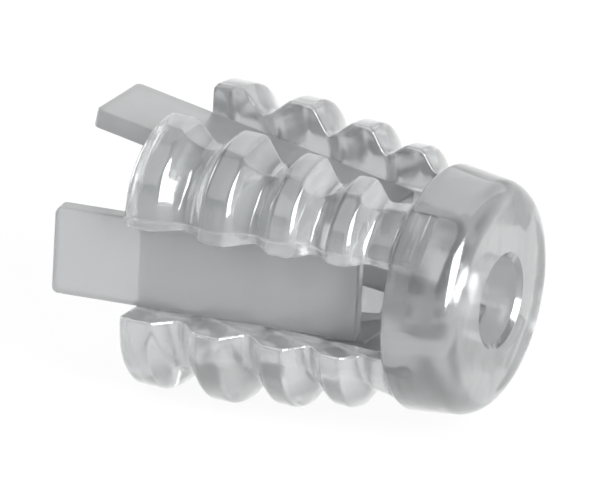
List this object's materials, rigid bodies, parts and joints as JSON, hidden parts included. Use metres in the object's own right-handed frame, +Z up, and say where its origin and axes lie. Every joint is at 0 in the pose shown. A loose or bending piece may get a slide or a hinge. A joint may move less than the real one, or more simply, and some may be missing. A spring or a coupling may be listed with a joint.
{
  "type": "wall anchor",
  "caption": "Clear plastic push-in wall anchor: ribbed jaws hinged on a smooth round collar make a square barrel with rounded corners, spread by a sliding wedge whose straps ride in the slots.",
  "frame": {"origin": "centre of the collar's outer face, on the axis of the screw bore, flush with the wall", "axes": "+X out of the wall along the screw, +Z up, -Y towards the front strap"},
  "size_m": [0.0221, 0.0142, 0.0142],
  "materials": {
    "clear_body": "clear moulded polycarbonate, polished mould",
    "clear_wedge": "clear moulded polycarbonate with a faint flow haze",
    "matt_strap": "clear moulded polycarbonate from a fine spark-eroded mould face"
  },
  "bodies": {
    "head": {"collar": "clear_body"},
    "expander": {"wedge": "clear_wedge", "strap_top": "matt_strap", "strap_front": "matt_strap", "strap_bottom": "matt_strap", "strap_back": "matt_strap"},
    "jaw_top_back": {"jaw_top_back": "clear_body"},
    "jaw_top_front": {"jaw_top_front": "clear_body"},
    "jaw_bottom_front": {"jaw_bottom_front": "clear_body"},
    "jaw_bottom_back": {"jaw_bottom_back": "clear_body"}
  },
  "joints": [
    {"name": "wedge_slide", "type": "slide", "parent": "head", "child": "expander", "axis": [1, 0, 0], "range_m": [0, 0.0022]},
    {"name": "jaw_top_back_hinge", "type": "hinge", "parent": "head", "child": "jaw_top_back", "pos_m": [-0.0029, 0.00354, 0.00354], "axis": [0, 0.7071, -0.7071], "range_deg": [0, 2.35]},
    {"name": "jaw_top_front_hinge", "type": "hinge", "parent": "head", "child": "jaw_top_front", "pos_m": [-0.0029, -0.00354, 0.00354], "axis": [0, 0.7071, 0.7071], "range_deg": [0, 2.35]},
    {"name": "jaw_bottom_front_hinge", "type": "hinge", "parent": "head", "child": "jaw_bottom_front", "pos_m": [-0.0029, -0.00354, -0.00354], "axis": [0, -0.7071, 0.7071], "range_deg": [0, 2.35]},
    {"name": "jaw_bottom_back_hinge", "type": "hinge", "parent": "head", "child": "jaw_bottom_back", "pos_m": [-0.0029, 0.00354, -0.00354], "axis": [0, -0.7071, -0.7071], "range_deg": [0, 2.35]}
  ],
  "couplings": [
    {"joint": "jaw_top_back_hinge", "follows": "wedge_slide", "rad_per_m": 18.333},
    {"joint": "jaw_top_front_hinge", "follows": "wedge_slide", "rad_per_m": 18.333},
    {"joint": "jaw_bottom_front_hinge", "follows": "wedge_slide", "rad_per_m": 18.333},
    {"joint": "jaw_bottom_back_hinge", "follows": "wedge_slide", "rad_per_m": 18.333}
  ]
}
